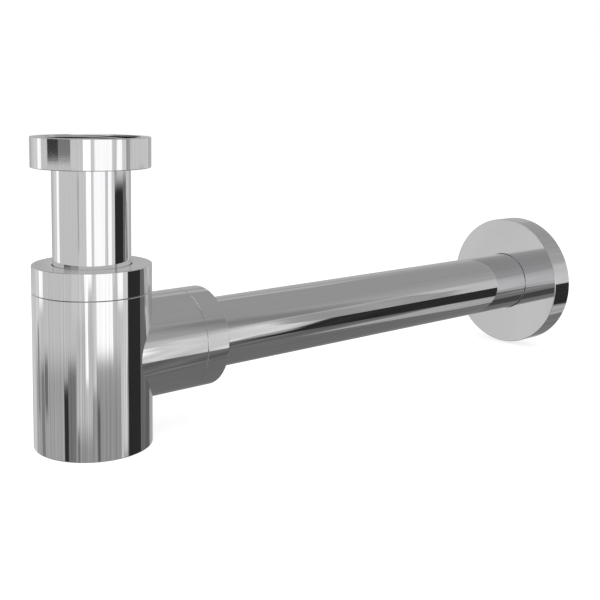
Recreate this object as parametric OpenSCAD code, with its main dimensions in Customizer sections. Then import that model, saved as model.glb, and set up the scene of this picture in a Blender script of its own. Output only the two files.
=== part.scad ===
// Round bottle trap for a washbasin, in millimetres.
// A coupling nut hangs the trap from the basin waste, a dip tube leads down into an inner cup
// that holds the water seal, and a level tube carries the overflow to the wall.
// Z points up and the wall lies towards +Y.
// The origin is the centre of the coupling nut's upper opening.

/* [Tubes] */
// Outside diameter of the inlet tube and the wall tube
tube_d = 32; // [30:0.5:33]
// Wall of both tubes
tube_wall = 1; // [0.8:0.1:1.5]
// Length of inlet tube that shows between the coupling nut and the top nut
inlet_shows = 39.8; // [25:0.1:60]
// Distance from the trap's axis to the finished wall
wall_reach = 289; // [200:1:340]
// How far the wall tube's inner end lies inside the branch's shoulder
tube_insert = 14.5; // [10:0.5:16]
// How far the wall tube's outer end stops short of the wall
tube_recess = 0.5; // [0.3:0.1:2]
// Height of the dip tube's mouth above the floor of the inner cup
dip_clear = 6.3; // [4:0.1:12]

/* [Coupling nut] */
// Wall of the coupling nut outside its thread
coupling_wall = 4.825; // [3.5:0.025:7]
// Height of the coupling nut
coupling_h = 12.5; // [12:0.5:18]
// Depth of the relief groove behind its thread
coupling_relief = 1.6; // [0.8:0.1:1.8]
// Web under the flange of the inlet tube
coupling_web = 2; // [1.5:0.1:3]
// Radial width of the inlet tube's flange
flange_w = 2.6; // [2:0.1:3]
// Radial gap between that flange and the coupling nut's thread, which is then 38.95 mm wide
// inside, for a pipe thread of one and a quarter inches
flange_gap = 0.875; // [0.5:0.025:1.2]
// Thickness of the inlet tube's flange
flange_t = 1.5; // [1:0.1:2]
// Thickness of the flat washer on the flange
washer_t = 2; // [1.5:0.1:3]

/* [Body] */
// Wall of the top nut outside its thread, which sets the body's outside flush with it
top_nut_wall = 4.2; // [3.6:0.1:8]
// Height of the body from its foot to the seam under the top nut
body_h = 65; // [62:0.5:100]
// Wall of the body
body_wall = 2.5; // [2:0.1:3]
// Thickness of the body's roof under its neck
roof_t = 3; // [2:0.1:3.4]

/* [Branch] */
// Wall of the outlet nut outside its thread, which sets the branch's outside flush with it
outlet_nut_wall = 2.1; // [1.7:0.1:3.2]
// Wall of the side branch
branch_wall = 2.9; // [2.5:0.1:3.5]
// Distance from the trap's axis to the shoulder of the branch
branch_reach = 43; // [38:0.5:60]
// Depth of the branch's axis below the seam under the top nut
branch_drop = 27; // [26:0.5:36]
// Length of the guide that carries the wall tube inside the branch's shoulder
guide_l = 6.5; // [4:0.5:8]

/* [Compression joints] */
// Height of the top nut and the outlet nut
nut_h = 11.2; // [10.5:0.1:16]
// Thickness of the nuts' end web
nut_web = 2.4; // [1.6:0.1:3]
// Height of the threaded necks
neck_h = 5.4; // [4.8:0.1:5.8]
// Wall of a neck at its mouth
neck_wall = 1.4; // [1.1:0.1:1.6]
// Radial flare of the seal seat from throat to mouth
seat_flare = 2.1; // [1.6:0.1:2.3]
// Depth of the coned seat in a neck
seat_depth = 3.2; // [2.6:0.1:4]
// Thickness of the slip ring between seal and nut
slip_t = 1.6; // [1:0.1:2]

/* [Foot] */
// Height of the screwed foot plug
plug_h = 8; // [7:0.5:12]
// How far the plug's face is sunk inside the body's rim
plug_recess = 1; // [0.6:0.1:2]
// Section diameter of the plug's ring seal
plug_ring_d = 2.2; // [1.6:0.1:2.6]
// Height of the ring seal's middle below the plug's upper face
plug_ring_drop = 2.2; // [2:0.1:2.8]
// Length of the coin slot across the plug
slot_l = 26; // [18:1:32]
// Width of the coin slot
slot_w = 2.6; // [2:0.1:4]
// Depth of the coin slot
slot_depth = 1.6; // [1:0.1:2.4]

/* [Inner cup] */
// Gap for the overflow between the inner cup and the body
outer_way = 2; // [1.6:0.1:2.4]
// Wall of the inner cup
cup_wall = 1; // [0.8:0.1:1.2]
// Floor of the inner cup
cup_floor = 1.2; // [1:0.1:2]
// Gap between the cup's rim and the roof of the body
cup_rim_gap = 5.5; // [4:0.5:9]
// Diameter of the centre stud that locates the cup in the plug
stud_d = 10; // [8:0.5:14]
// Height of the centre stud
stud_h = 2; // [1.5:0.1:3]
// Number of ribs that centre the cup in the body
rib_count = 3; // [3:1:3]
// Thickness of a centring rib
rib_t = 1.6; // [1.2:0.1:2.4]
// Height of a centring rib
rib_h = 8; // [5:0.5:12]
// Depth of the ribs' upper ends below the cup's rim
rib_drop = 2; // [1:0.5:4]

/* [Wall rosette] */
// Outside diameter of the rosette
rosette_d = 73.5; // [60:0.5:76]
// Depth of the rosette from its face to the wall
rosette_h = 13.7; // [12:0.1:20]
// Thickness of the rosette's face and rim
rosette_wall = 1.2; // [1:0.1:2]
// Radial wall of the collar behind the rosette's face
collar_wall = 4.2; // [3.4:0.1:5]
// Depth of the collar behind the rosette's face
collar_h = 8; // [6:0.5:10]
// Section diameter of the ring that grips the wall tube
grip_ring_d = 2; // [1.6:0.1:2.4]

/* [Edges and clearances] */
// Bevel on the turned outer edges
edge = 0.5; // [0.3:0.1:0.8]
// Fine bevel where a tube enters a nut, and on the coupling nut's mouth
lead_in = 0.4; // [0.2:0.1:0.5]
// Radial gap between a tube and the hard parts that it slides through
tube_gap = 0.3; // [0.2:0.05:0.4]
// Radial gap between a tube and the rubber that grips it
grip_gap = 0.05; // [0.03:0.01:0.08]
// Radial gap between a tube and the throat of a neck
throat_gap = 0.5; // [0.4:0.05:0.6]
// Radial gap between mating threads
thread_gap = 0.3; // [0.2:0.05:0.4]
// Gap between flat faces that bear on each other
seat_gap = 0.1; // [0.05:0.05:0.15]
// Gap between a coned seal and its seat
cone_gap = 0.2; // [0.1:0.05:0.3]
// Side gap of a ring seal in its groove
groove_gap = 0.2; // [0.1:0.05:0.3]

/* [Hidden] */
$fn = 96;
over = 1;

tube_r = tube_d / 2;
tube_bore_r = tube_r - tube_wall;
hole_r = tube_r + tube_gap;
throat_r = tube_r + throat_gap;
seat_mouth_r = throat_r + seat_flare;
neck_r = seat_mouth_r + neck_wall;
nut_bore_r = neck_r + thread_gap;
coupling_bore_r = tube_r + flange_w + flange_gap;
coupling_r = coupling_bore_r + coupling_wall;
body_r = nut_bore_r + top_nut_wall;
body_bore_r = body_r - body_wall;
branch_r = nut_bore_r + outlet_nut_wall;
branch_bore_r = branch_r - branch_wall;

// Heights of the stack, from the coupling nut's mouth down to the foot
web_top_z = coupling_web - coupling_h;
flange_top_z = web_top_z + seat_gap + flange_t;
washer_top_z = flange_top_z + washer_t;
top_nut_z = -coupling_h - inlet_shows;
seam_z = top_nut_z - nut_h;
branch_z = seam_z - branch_drop;
roof_z = seam_z - roof_t;
base_z = seam_z - body_h;
plug_z = base_z + plug_recess;
plug_top_z = plug_z + plug_h;
cup_rim_z = roof_z - cup_rim_gap;
cup_floor_z = plug_top_z + cup_floor;
dip_z = cup_floor_z + dip_clear;

// Inner cup and its ribs
cup_r = body_bore_r - outer_way;
cup_bore_r = cup_r - cup_wall;
rib_reach = outer_way - thread_gap;

// Ring seal of the foot plug
plug_r = body_bore_r - thread_gap;
plug_ring_r = body_bore_r - grip_gap - plug_ring_d / 2;
plug_groove_r = plug_ring_r - plug_ring_d / 2 - grip_gap;
plug_groove_w = plug_ring_d + 2 * groove_gap;
plug_ring_z = plug_top_z - plug_ring_drop;

// Rosette and its grip ring
rosette_r = rosette_d / 2;
collar_r = hole_r + collar_wall;
grip_ring_r = tube_r + grip_gap + grip_ring_d / 2;
grip_groove_r = grip_ring_r + grip_ring_d / 2 + grip_gap;
grip_groove_w = grip_ring_d + 2 * groove_gap;
grip_ring_y = rosette_wall + collar_h / 2;
rosette_y = wall_reach - rosette_h;

// Height of the cylindrical lip of a coned seal above its neck
seal_lip_h = nut_h - nut_web - neck_h - slip_t - seat_gap;

// Turns a half-section given as [radius, height] points about the Z axis
module turned(outline) {
    rotate_extrude()
        polygon(outline);
}

// A plain ring between two radii and two heights
module ring(inner_r, outer_r, low, high) {
    turned([[inner_r, low], [outer_r, low], [outer_r, high], [inner_r, high]]);
}

// Puts a part drawn about the Z axis, with its seat at zero, on the body's neck
module on_top_neck() {
    translate([0, 0, seam_z])
        children();
}

// Puts the same part on the branch's neck, with its axis towards the wall
module on_branch_neck() {
    translate([0, branch_reach, branch_z])
        rotate([-90, 0, 0])
            children();
}

// Turns a part drawn about the Z axis towards the wall, starting at a given distance
module towards_wall(start_y) {
    translate([0, start_y, branch_z])
        rotate([-90, 0, 0])
            children();
}

// Outside of a threaded neck that stands on a shoulder at height zero
module neck_outside() {
    turned([[0, -over], [neck_r, -over], [neck_r, neck_h - edge], [neck_r - edge, neck_h],
        [0, neck_h]]);
}

// Throat and coned seal seat inside a neck, down to a given depth below the shoulder
module neck_inside(depth) {
    turned([[0, -depth], [throat_r, -depth], [throat_r, neck_h - seat_depth],
        [seat_mouth_r, neck_h], [seat_mouth_r, neck_h + over], [0, neck_h + over]]);
}

// Compression nut with a flush outside, a plain bore for the thread and an end web
module compression_nut(outer_r) {
    web_z = nut_h - nut_web;
    turned([[nut_bore_r + lead_in, seat_gap], [outer_r - edge, seat_gap],
        [outer_r, seat_gap + edge], [outer_r, nut_h - edge], [outer_r - edge, nut_h],
        [hole_r + lead_in, nut_h], [hole_r, nut_h - lead_in], [hole_r, web_z],
        [nut_bore_r, web_z], [nut_bore_r, seat_gap + lead_in]]);
}

// Coned rubber seal: its nose lies in the seat and its lip stands above the neck
module cone_seal() {
    nose_z = neck_h - seat_depth + cone_gap;
    turned([[tube_r + grip_gap, nose_z], [throat_r - cone_gap / 2, nose_z],
        [seat_mouth_r - cone_gap, neck_h], [seat_mouth_r - cone_gap, neck_h + seal_lip_h],
        [tube_r + grip_gap, neck_h + seal_lip_h]]);
}

// Hard slip ring that lets the nut turn without dragging the seal round
module slip_ring() {
    low = neck_h + seal_lip_h;
    ring(hole_r, nut_bore_r - thread_gap, low, low + slip_t);
}

// Ring seal of round section
module ring_seal(middle_r, section_d) {
    rotate_extrude()
        translate([middle_r, 0])
            circle(d = section_d, $fn = 32);
}

module inlet_nut() {
    relief_r = coupling_bore_r + coupling_relief;
    relief_z = washer_top_z + 2 * seat_gap;
    color("silver")
        turned([[hole_r, -coupling_h + lead_in], [hole_r + lead_in, -coupling_h],
            [coupling_r - edge, -coupling_h], [coupling_r, -coupling_h + edge],
            [coupling_r, -edge], [coupling_r - edge, 0], [coupling_bore_r + lead_in, 0],
            [coupling_bore_r, -lead_in], [coupling_bore_r, relief_z],
            [relief_r, relief_z - coupling_relief / 2], [relief_r, web_top_z],
            [hole_r, web_top_z]]);
}

module inlet_washer() {
    color("dimgray")
        ring(tube_bore_r, coupling_bore_r - tube_gap, flange_top_z, washer_top_z);
}

module inlet_tube() {
    flange_r = tube_r + flange_w;
    color("silver")
        turned([[tube_bore_r, dip_z], [tube_r - lead_in, dip_z], [tube_r, dip_z + lead_in],
            [tube_r, flange_top_z - flange_t], [flange_r, flange_top_z - flange_t],
            [flange_r, flange_top_z], [tube_bore_r, flange_top_z]]);
}

module top_nut() {
    color("silver")
        on_top_neck()
            compression_nut(body_r);
}

module top_slip_ring() {
    color("whitesmoke")
        on_top_neck()
            slip_ring();
}

module top_cone_seal() {
    color("dimgray")
        on_top_neck()
            cone_seal();
}

// Cast body: an open-footed cup with a threaded neck on its roof and a side branch whose
// neck carries the same seat, and one waterway that joins the three
module trap_body() {
    color("silver")
        difference() {
            union() {
                turned([[0, base_z], [body_r - edge, base_z], [body_r, base_z + edge],
                    [body_r, seam_z - edge], [body_r - edge, seam_z], [0, seam_z]]);
                on_top_neck()
                    neck_outside();
                on_branch_neck()
                    turned([[0, -branch_reach], [branch_r, -branch_reach], [branch_r, -edge],
                        [branch_r - edge, 0], [0, 0]]);
                on_branch_neck()
                    neck_outside();
            }
            turned([[0, base_z - over], [body_bore_r + lead_in + over, base_z - over],
                [body_bore_r, base_z + lead_in], [body_bore_r, roof_z - over],
                [body_bore_r - over, roof_z], [0, roof_z]]);
            on_top_neck()
                neck_inside(roof_t + over);
            on_branch_neck()
                branch_waterway();
        }
}

// Waterway of the branch: a wide chamber that opens into the body, then guide and seat
module branch_waterway() {
    chamber_start = branch_reach - body_bore_r / 3;
    throat_step = branch_bore_r - throat_r;
    turned([[0, -chamber_start], [branch_bore_r, -chamber_start],
        [branch_bore_r, -guide_l - throat_step], [throat_r, -guide_l], [0, -guide_l]]);
    neck_inside(guide_l + over);
}

// Inner cup: the dip tube ends inside it and the water leaves over its rim
module seal_cup() {
    color("lightgray") {
        turned([[0, plug_top_z - stud_h], [stud_d / 2, plug_top_z - stud_h],
            [stud_d / 2, plug_top_z], [cup_r - edge, plug_top_z], [cup_r, plug_top_z + edge],
            [cup_r, cup_rim_z], [cup_bore_r, cup_rim_z], [cup_bore_r, cup_floor_z],
            [0, cup_floor_z]]);
        for (i = [0 : rib_count - 1])
            rotate([0, 0, 30 + i * 360 / rib_count])
                translate([cup_r - cup_wall / 2, -rib_t / 2, cup_rim_z - rib_drop - rib_h])
                    cube([cup_wall / 2 + rib_reach, rib_t, rib_h]);
    }
}

// Foot plug: ring groove above its thread, a socket for the cup's stud and a coin slot below
module base_plug() {
    groove_low = plug_ring_z - plug_groove_w / 2;
    groove_high = plug_ring_z + plug_groove_w / 2;
    socket_r = stud_d / 2 + tube_gap;
    socket_z = plug_top_z - stud_h - tube_gap;
    color("silver")
        difference() {
            turned([[0, plug_z], [plug_r - edge, plug_z], [plug_r, plug_z + edge],
                [plug_r, groove_low], [plug_groove_r, groove_low], [plug_groove_r, groove_high],
                [plug_r, groove_high], [plug_r, plug_top_z - lead_in],
                [plug_r - lead_in, plug_top_z], [socket_r, plug_top_z], [socket_r, socket_z],
                [0, socket_z]]);
            coin_slot();
        }
}

module coin_slot() {
    straight = slot_l - slot_w;
    translate([-straight / 2, -slot_w / 2, plug_z - over])
        cube([straight, slot_w, slot_depth + over]);
    for (side = [-1, 1])
        translate([side * straight / 2, 0, plug_z - over])
            cylinder(d = slot_w, h = slot_depth + over, $fn = 32);
}

module base_o_ring() {
    color("dimgray")
        translate([0, 0, plug_ring_z])
            ring_seal(plug_ring_r, plug_ring_d);
}

module outlet_nut() {
    color("silver")
        on_branch_neck()
            compression_nut(branch_r);
}

module outlet_slip_ring() {
    color("whitesmoke")
        on_branch_neck()
            slip_ring();
}

module outlet_cone_seal() {
    color("dimgray")
        on_branch_neck()
            cone_seal();
}

module wall_tube() {
    length = wall_reach - tube_recess - branch_reach + tube_insert;
    color("silver")
        towards_wall(branch_reach - tube_insert)
            turned([[tube_bore_r, 0], [tube_r - lead_in, 0], [tube_r, lead_in],
                [tube_r, length - lead_in], [tube_r - lead_in, length], [tube_bore_r, length]]);
}

// Rosette: a hollow disc with a collar behind its face that holds the grip ring
module wall_rosette() {
    back = rosette_wall + collar_h;
    groove_low = grip_ring_y - grip_groove_w / 2;
    groove_high = grip_ring_y + grip_groove_w / 2;
    color("silver")
        towards_wall(rosette_y)
            turned([[hole_r + lead_in, 0], [rosette_r - edge, 0], [rosette_r, edge],
                [rosette_r, rosette_h], [rosette_r - rosette_wall, rosette_h],
                [rosette_r - rosette_wall, rosette_wall], [collar_r, rosette_wall],
                [collar_r, back], [hole_r, back], [hole_r, groove_high],
                [grip_groove_r, groove_high], [grip_groove_r, groove_low],
                [hole_r, groove_low], [hole_r, lead_in]]);
}

module rosette_grip_ring() {
    color("dimgray")
        towards_wall(rosette_y + grip_ring_y)
            ring_seal(grip_ring_r, grip_ring_d);
}

inlet_nut();
inlet_washer();
inlet_tube();
top_nut();
top_slip_ring();
top_cone_seal();
trap_body();
seal_cup();
base_plug();
base_o_ring();
outlet_nut();
outlet_slip_ring();
outlet_cone_seal();
wall_tube();
wall_rosette();
rosette_grip_ring();
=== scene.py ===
"""Looks of a round bottle trap for a washbasin: chromed pieces, seals, floor, light and camera.

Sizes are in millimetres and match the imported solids. Z points up and the wall lies towards +Y.
"""

import logging
import math
from collections.abc import Callable, Iterable, Sequence
from dataclasses import dataclass, field
from enum import Enum

import bpy
from mathutils import Matrix, Vector


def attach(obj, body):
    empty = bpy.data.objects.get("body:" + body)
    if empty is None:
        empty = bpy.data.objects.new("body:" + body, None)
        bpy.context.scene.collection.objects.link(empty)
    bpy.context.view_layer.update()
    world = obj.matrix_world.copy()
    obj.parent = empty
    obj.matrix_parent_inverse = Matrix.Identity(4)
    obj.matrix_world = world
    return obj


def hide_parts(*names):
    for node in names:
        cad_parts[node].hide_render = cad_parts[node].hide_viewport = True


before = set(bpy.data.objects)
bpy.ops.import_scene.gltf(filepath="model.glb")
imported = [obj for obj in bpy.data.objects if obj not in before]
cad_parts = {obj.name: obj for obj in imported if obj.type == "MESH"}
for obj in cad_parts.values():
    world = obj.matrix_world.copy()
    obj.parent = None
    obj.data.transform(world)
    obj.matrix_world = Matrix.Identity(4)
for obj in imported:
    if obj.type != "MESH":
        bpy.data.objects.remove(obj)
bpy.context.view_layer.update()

logging.basicConfig(level=logging.INFO, format="%(message)s")
log = logging.getLogger("trap")

MM = 0.001
SEGMENTS = 192
BRANCH_Z = -90.5


# Modelling: turned forms and threads


class Way(Enum):
    """The axis that a turned piece is drawn about."""

    UP = "up"
    WALL = "wall"

    def place(self, start: float) -> Matrix:
        """Returns the matrix that puts a form drawn about Z on this axis.

        Args:
            start: where the form's zero lies along the axis, in millimetres.
        """
        if self is Way.UP:
            return Matrix.Translation((0, 0, start * MM))
        turn = Matrix.Rotation(-math.pi / 2, 4, "X")
        return Matrix.Translation((0, start * MM, BRANCH_Z * MM)) @ turn


@dataclass(frozen=True)
class Corner:
    """A corner of a turned half-section, rounded by a small radius, in millimetres."""

    radius: float
    height: float
    rounding: float = 0.0


def rounded(corners: Sequence[Corner], closed: bool, arc_steps: int = 4) -> list[tuple[float, float]]:
    """Replaces each rounded corner of a half-section by a short arc.

    Args:
        corners: the half-section, corner by corner.
        closed: whether the last corner joins the first.
        arc_steps: steps of each arc.

    Returns:
        Points as (radius, height), in millimetres.
    """
    points: list[tuple[float, float]] = []
    count = len(corners)
    for i, corner in enumerate(corners):
        at = Vector((corner.radius, corner.height))
        ends = not closed and i in (0, count - 1)
        if corner.rounding <= 0 or ends:
            points.append((at.x, at.y))
            continue
        before = corners[i - 1]
        after = corners[(i + 1) % count]
        back = (Vector((before.radius, before.height)) - at).normalized()
        on = (Vector((after.radius, after.height)) - at).normalized()
        half = back.angle(on) / 2
        reach = corner.rounding / math.tan(half)
        middle = at + (back + on).normalized() * (corner.rounding / math.sin(half))
        first = at + back * reach - middle
        last = at + on * reach - middle
        sweep = first.angle_signed(last)
        for step in range(arc_steps + 1):
            spoke = first.copy()
            spoke.rotate(Matrix.Rotation(-sweep * step / arc_steps, 2))
            points.append((middle.x + spoke.x, middle.y + spoke.y))
    return points


def only(obj: bpy.types.Object) -> None:
    """Makes an object the only one selected, and the active one."""
    bpy.ops.object.select_all(action="DESELECT")
    obj.select_set(True)
    bpy.context.view_layer.objects.active = obj


def settle(obj: bpy.types.Object, place: Matrix) -> None:
    """Moves an object to its place and leaves that place in its mesh."""
    only(obj)
    obj.matrix_world = place @ obj.matrix_world
    bpy.ops.object.transform_apply(location=True, rotation=True, scale=True)


def close_up(merge: float = 1e-6) -> None:
    """Merges doubles and turns all faces outwards, in edit mode."""
    bpy.ops.mesh.select_all(action="SELECT")
    bpy.ops.mesh.remove_doubles(threshold=merge)
    bpy.ops.mesh.normals_make_consistent(inside=False)


def shade(obj: bpy.types.Object, angle: float = 27.0) -> None:
    """Shades a piece smooth below an angle, with normals that follow its larger faces."""
    only(obj)
    bpy.ops.object.shade_smooth_by_angle(angle=math.radians(angle), keep_sharp_edges=False)
    even = obj.modifiers.new("even_normals", "WEIGHTED_NORMAL")
    even.keep_sharp = True
    even.weight = 80
    bpy.ops.object.modifier_apply(modifier=even.name)


def turned(name: str, corners: Sequence[Corner], closed: bool = True) -> bpy.types.Object:
    """Turns a half-section about Z: a circle is extruded and scaled from point to point.

    Args:
        name: the new object's name.
        corners: the half-section. An open one starts and ends on the axis.
        closed: whether the half-section is a ring's.

    Returns:
        The turned object, at the origin.
    """
    points = rounded(corners, closed)
    if closed:
        points.append(points[0])
    small = 0.05
    points = [(max(radius, small), height) for radius, height in points]
    bpy.ops.object.select_all(action="DESELECT")
    bpy.ops.mesh.primitive_circle_add(
        vertices=SEGMENTS, radius=points[0][0] * MM, location=(0, 0, points[0][1] * MM)
    )
    obj = bpy.context.object
    obj.name = name
    bpy.ops.object.transform_apply(location=True, rotation=True, scale=True)
    bpy.ops.object.mode_set(mode="EDIT")
    bpy.ops.mesh.select_mode(type="VERT")
    bpy.ops.mesh.select_all(action="SELECT")
    for before, after in zip(points, points[1:]):
        bpy.ops.mesh.extrude_edges_move(
            TRANSFORM_OT_translate={"value": (0, 0, (after[1] - before[1]) * MM)}
        )
        factor = after[0] / before[0]
        if abs(factor - 1) > 1e-9:
            bpy.ops.transform.resize(
                value=(factor, factor, 1), center_override=(0, 0, after[1] * MM)
            )
    if not closed:
        bpy.ops.mesh.merge(type="CENTER")
        bpy.ops.object.mode_set(mode="OBJECT")
        for vertex in obj.data.vertices:
            vertex.select = vertex.index < SEGMENTS
        bpy.ops.object.mode_set(mode="EDIT")
        bpy.ops.mesh.merge(type="CENTER")
    close_up(2e-6)
    bpy.ops.object.mode_set(mode="OBJECT")
    return obj


def combine(obj: bpy.types.Object, tool: bpy.types.Object, operation: str) -> None:
    """Applies a boolean with a tool object, which is then deleted."""
    only(obj)
    cut = obj.modifiers.new("combine", "BOOLEAN")
    cut.operation = operation
    cut.solver = "EXACT"
    cut.object = tool
    bpy.ops.object.modifier_apply(modifier=cut.name)
    mesh = tool.data
    bpy.data.objects.remove(tool)
    bpy.data.meshes.remove(mesh)


@dataclass(frozen=True)
class Thread:
    """A screw thread's ridge: its crest, root, pitch and the stretch that it covers."""

    crest: float
    root: float
    pitch: float
    low: float
    high: float
    chamfer: float = 0.4
    hand: int = 1

    def build(self, name: str, way: Way, start: float) -> bpy.types.Object:
        """Sweeps the ridge along its helix and trims both ends by a chamfered ring.

        Args:
            name: the new object's name.
            way: the thread's axis.
            start: where the thread's zero lies along that axis.

        Returns:
            The thread's ridge, whose base lies just under the root's surface.
        """
        inward = self.crest < self.root
        sign = -1.0 if inward else 1.0
        base = self.root - sign * 0.06
        depth = abs(self.crest - base)
        turns = (self.high - self.low) / self.pitch + 2
        bpy.ops.object.select_all(action="DESELECT")
        bpy.ops.mesh.primitive_plane_add(
            size=1, location=((base + self.crest) / 2 * MM, 0, (self.low - self.pitch) * MM),
            rotation=(math.pi / 2, 0, 0),
        )
        obj = bpy.context.object
        obj.name = name
        obj.scale = (depth * MM, self.pitch * 0.94 * MM, 1)
        bpy.ops.object.transform_apply(location=True, rotation=True, scale=True)
        outer = self.crest * MM
        for vertex in obj.data.vertices:
            vertex.select = abs(vertex.co.x - outer) < 1e-5
        for edge in obj.data.edges:
            edge.select = all(obj.data.vertices[v].select for v in edge.vertices)
        for face in obj.data.polygons:
            face.select = False
        bpy.ops.object.mode_set(mode="EDIT")
        bpy.ops.mesh.select_mode(type="VERT")
        bpy.ops.transform.resize(
            value=(1, 1, 0.16), center_override=(outer, 0, (self.low - self.pitch) * MM)
        )
        bpy.ops.mesh.select_all(action="SELECT")
        bpy.ops.mesh.delete(type="ONLY_FACE")
        bpy.ops.object.mode_set(mode="OBJECT")
        sweep = obj.modifiers.new("helix", "SCREW")
        sweep.axis = "Z"
        sweep.angle = self.hand * math.tau * turns
        sweep.screw_offset = self.pitch * turns * MM
        sweep.steps = sweep.render_steps = int(96 * turns)
        sweep.use_merge_vertices = False
        bpy.ops.object.modifier_apply(modifier=sweep.name)
        bpy.ops.object.mode_set(mode="EDIT")
        bpy.ops.mesh.select_all(action="DESELECT")
        bpy.ops.mesh.select_mode(type="EDGE")
        bpy.ops.mesh.select_non_manifold(extend=False)
        bpy.ops.mesh.edge_face_add()
        close_up()
        bpy.ops.object.mode_set(mode="OBJECT")
        deep = base - sign * 0.5
        edge = self.chamfer
        trim = turned(name + "_trim", [
            Corner(deep, self.low), Corner(self.crest - sign * edge, self.low),
            Corner(self.crest + sign * 0.02, self.low + edge),
            Corner(self.crest + sign * 0.02, self.high - edge),
            Corner(self.crest - sign * edge, self.high), Corner(deep, self.high),
        ])
        combine(obj, trim, "INTERSECT")
        shade(obj, 20.0)
        settle(obj, way.place(start))
        return obj


def direction_normals(points: Sequence[tuple[float, float]], closed: bool) -> list[tuple[Vector, Vector]]:
    """Finds the outward directions at both ends of each stretch of a half-section.

    Args:
        points: the half-section, as (radius, height), with the solid on its left.
        closed: whether the last point joins the first.

    Returns:
        For each stretch the direction at its start and at its end, blended round arcs.
    """
    count = len(points)
    stretches = count if closed else count - 1
    plain = []
    for i in range(stretches):
        a, b = Vector(points[i]), Vector(points[(i + 1) % count])
        along = (b - a).normalized()
        plain.append(Vector((along.y, -along.x)))
    ends = []
    for i, here in enumerate(plain):
        before = plain[i - 1] if closed or i else here
        after = plain[(i + 1) % stretches] if closed or i + 1 < stretches else here
        first = (here + before).normalized() if 0 < here.angle(before, 0) < 0.5 else here
        last = (here + after).normalized() if 0 < here.angle(after, 0) < 0.5 else here
        long = (Vector(points[(i + 1) % count]) - Vector(points[i])).length > 0.3
        ends.append((here, here) if long else (first, last))
    return ends


@dataclass(frozen=True)
class Turning:
    """A turned form: its half-section, its axis and where it starts along that axis."""

    corners: tuple[Corner, ...]
    way: Way = Way.UP
    start: float = 0.0
    closed: bool = True

    def build(self, name: str) -> bpy.types.Object:
        """Turns the form and sets it in its place, still without its shading."""
        obj = turned(name, self.corners, self.closed)
        settle(obj, self.way.place(self.start))
        return obj

    def piece(self, name: str) -> bpy.types.Object:
        """Turns the form, sets it in its place and shades it."""
        obj = self.build(name)
        true_shading(obj, [self])
        return obj


def true_shading(obj: bpy.types.Object, forms: Iterable[Turning]) -> None:
    """Gives each face of a piece the exact normals of the turned form that it came from.

    Args:
        obj: the piece, whose faces may have been cut by booleans.
        forms: the forms that the piece was made from.
    """
    only(obj)
    bpy.ops.object.shade_smooth()
    tables = []
    for form in forms:
        points = rounded(form.corners, form.closed)
        ends = direction_normals(points, form.closed)
        inverse = form.way.place(form.start).inverted()
        tables.append((inverse, inverse.to_3x3(), form.way.place(form.start).to_3x3(), points, ends))
    mesh = obj.data
    normals: list[Vector] = [Vector((0, 0, 1))] * len(mesh.loops)
    for face in mesh.polygons:
        best, chosen = 0.05, None
        for inverse, turn, back, points, ends in tables:
            centre = inverse @ face.center / MM
            facing = turn @ face.normal
            radial = Vector((centre.x, centre.y))
            spot = Vector((radial.length, centre.z))
            flat = Vector((facing.xy.dot(radial.normalized()) if radial.length > 1e-6 else 0.0, facing.z))
            for i, (first, last) in enumerate(ends):
                a, b = Vector(points[i]), Vector(points[(i + 1) % len(points)])
                along = b - a
                t = min(max((spot - a).dot(along) / max(along.length_squared, 1e-12), 0), 1)
                away = (a + along * t - spot).length
                side = (first + last).normalized().dot(flat)
                if away < best and abs(side) > 0.97:
                    best, chosen = away, (inverse, back, a, along, first, last, 1 if side > 0 else -1)
        for loop in face.loop_indices:
            if chosen is None:
                normals[loop] = face.normal.copy()
                continue
            inverse, back, a, along, first, last, sign = chosen
            point = inverse @ mesh.vertices[mesh.loops[loop].vertex_index].co / MM
            radial = Vector((point.x, point.y))
            spot = Vector((radial.length, point.z))
            t = min(max((spot - a).dot(along) / max(along.length_squared, 1e-12), 0), 1)
            outward = first.lerp(last, t).normalized() * sign
            ring = radial.normalized() if radial.length > 0.02 else Vector((0, 0))
            normals[loop] = (back @ Vector((ring.x * outward.x, ring.y * outward.x, outward.y))).normalized()
    mesh.normals_split_custom_set(normals)


# Finishes and their shared node groups


class Graph:
    """Adds nodes to a node tree and joins them."""

    def __init__(self, tree: bpy.types.NodeTree) -> None:
        """Starts on a node tree."""
        self.tree = tree

    def add(
        self, kind: str, inputs: dict[str | int, object] | None = None, **settings: object
    ) -> bpy.types.Node:
        """Adds a node.

        Args:
            kind: the node's type name.
            inputs: values, or sockets to join, by input name or number.
            settings: the node's own settings.

        Returns:
            The new node.
        """
        node = self.tree.nodes.new(kind)
        for key, value in settings.items():
            setattr(node, key, value)
        for key, value in (inputs or {}).items():
            socket = node.inputs[key]
            if isinstance(value, bpy.types.NodeSocket):
                self.tree.links.new(value, socket)
            else:
                socket.default_value = value
        return node

    def math(self, operation: str, *values: object) -> bpy.types.NodeSocket:
        """Adds a Math node on the given values or sockets and returns its result."""
        return self.add("ShaderNodeMath", dict(enumerate(values)), operation=operation).outputs[0]

    def smooth(self, value: object, low: object, high: object) -> bpy.types.NodeSocket:
        """Adds a smooth step of a value from 0 at low to 1 at high and returns it."""
        node = self.add(
            "ShaderNodeMapRange", {"Value": value, "From Min": low, "From Max": high},
            interpolation_type="SMOOTHSTEP",
        )
        return node.outputs["Result"]


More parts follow.
